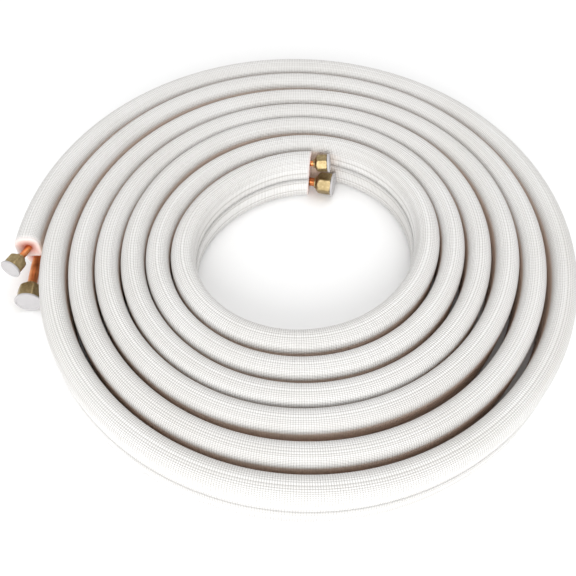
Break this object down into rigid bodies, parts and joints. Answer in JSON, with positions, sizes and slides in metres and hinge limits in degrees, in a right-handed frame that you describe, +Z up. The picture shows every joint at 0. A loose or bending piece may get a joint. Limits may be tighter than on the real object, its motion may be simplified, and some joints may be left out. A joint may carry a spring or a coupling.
{
  "type": "coiled twin insulated copper line set with capped flare nuts",
  "caption": "Flat spiral coil of a twin line: a small and a large foam-covered copper pipe, one above the other, with capped flare nuts at both ends.",
  "frame": {"origin": "middle of the coil's box, on the floor that it lies on", "axes": "+Z is up out of the coil, +X is to the right and -Y is to the front in the picture"},
  "size_m": [0.5712, 0.5726, 0.0555],
  "materials": {
    "copper": "drawn copper, slightly tarnished",
    "foam": "white foam with an embossed film",
    "nut": "forged and turned brass, satin",
    "cap": "white moulded plastic, satin"
  },
  "bodies": {
    "root": {"liquid_pipe": "copper", "suction_pipe": "copper", "liquid_sleeve": "foam", "suction_sleeve": "foam", "liquid_outer_flare_nut": "nut", "liquid_inner_flare_nut": "nut", "suction_outer_flare_nut": "nut", "suction_inner_flare_nut": "nut", "liquid_outer_cap": "cap", "liquid_inner_cap": "cap", "suction_outer_cap": "cap", "suction_inner_cap": "cap"}
  },
  "joints": []
}
